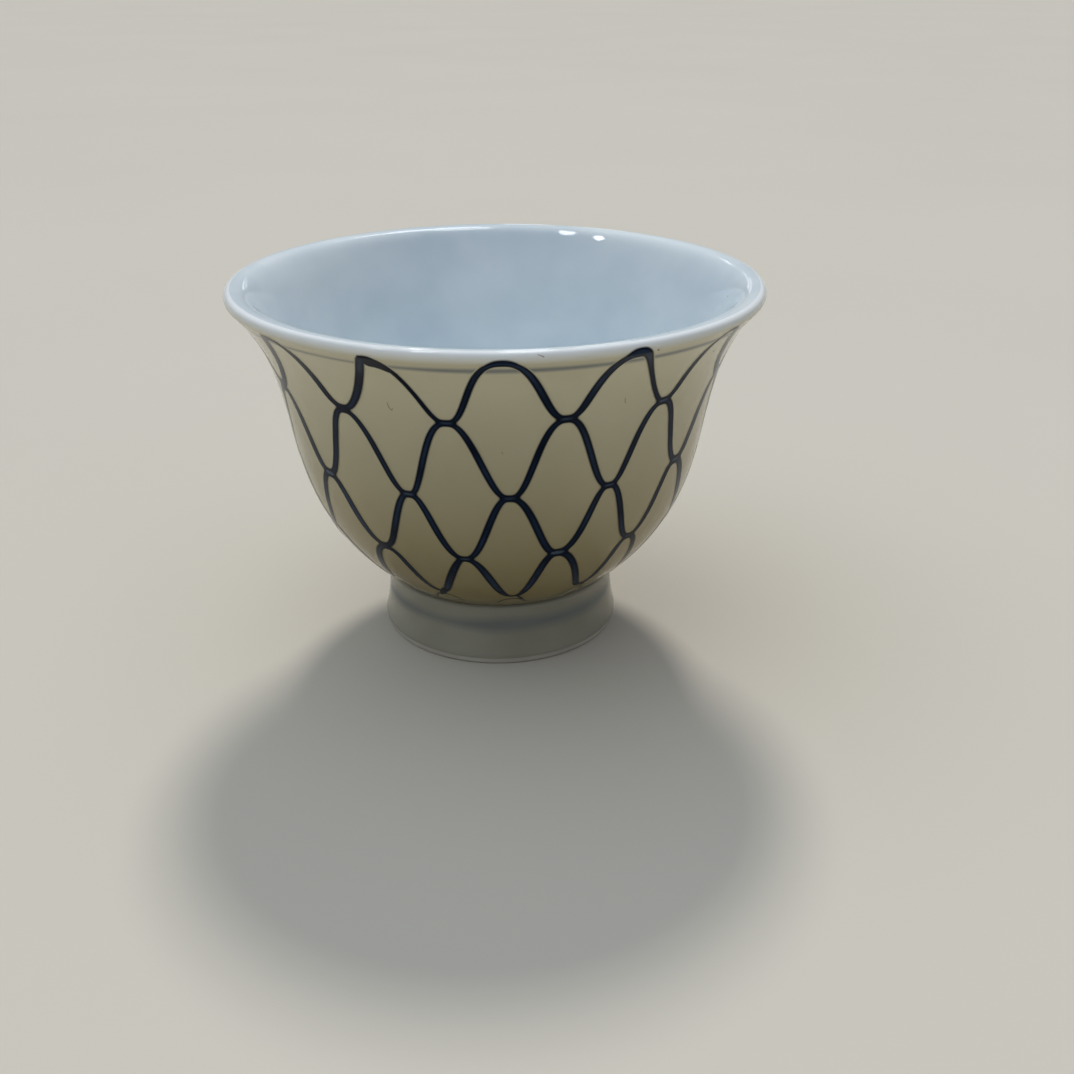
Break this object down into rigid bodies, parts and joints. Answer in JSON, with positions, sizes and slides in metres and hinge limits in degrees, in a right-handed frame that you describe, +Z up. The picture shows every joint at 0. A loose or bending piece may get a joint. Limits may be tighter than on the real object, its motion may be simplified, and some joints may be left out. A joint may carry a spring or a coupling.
{
  "type": "teacup",
  "caption": "Small porcelain teacup with a flared lip, a turned foot ring and a hand-painted blue net of wavy brush strokes around the outside.",
  "frame": {"origin": "centre of the ring the cup stands on, at table height", "axes": "+Z up along the cup's axis; -Y is the side seen in the reference view, +X to its right"},
  "size_m": [0.07, 0.0701, 0.049],
  "materials": {
    "clay": "matte",
    "glaze": "gloss",
    "pale_blue": "gloss",
    "cobalt": "gloss"
  },
  "bodies": {
    "root": {"bowl": "clay", "foot_ring": "clay", "inner_glaze": "glaze", "outer_glaze": "glaze", "foot_glaze": "glaze", "base_glaze": "glaze", "rim_line": "pale_blue", "foot_line": "pale_blue", "net_row_1": "cobalt", "net_row_2": "cobalt", "net_row_3": "cobalt", "net_row_4": "cobalt", "net_row_5": "cobalt"}
  },
  "joints": []
}
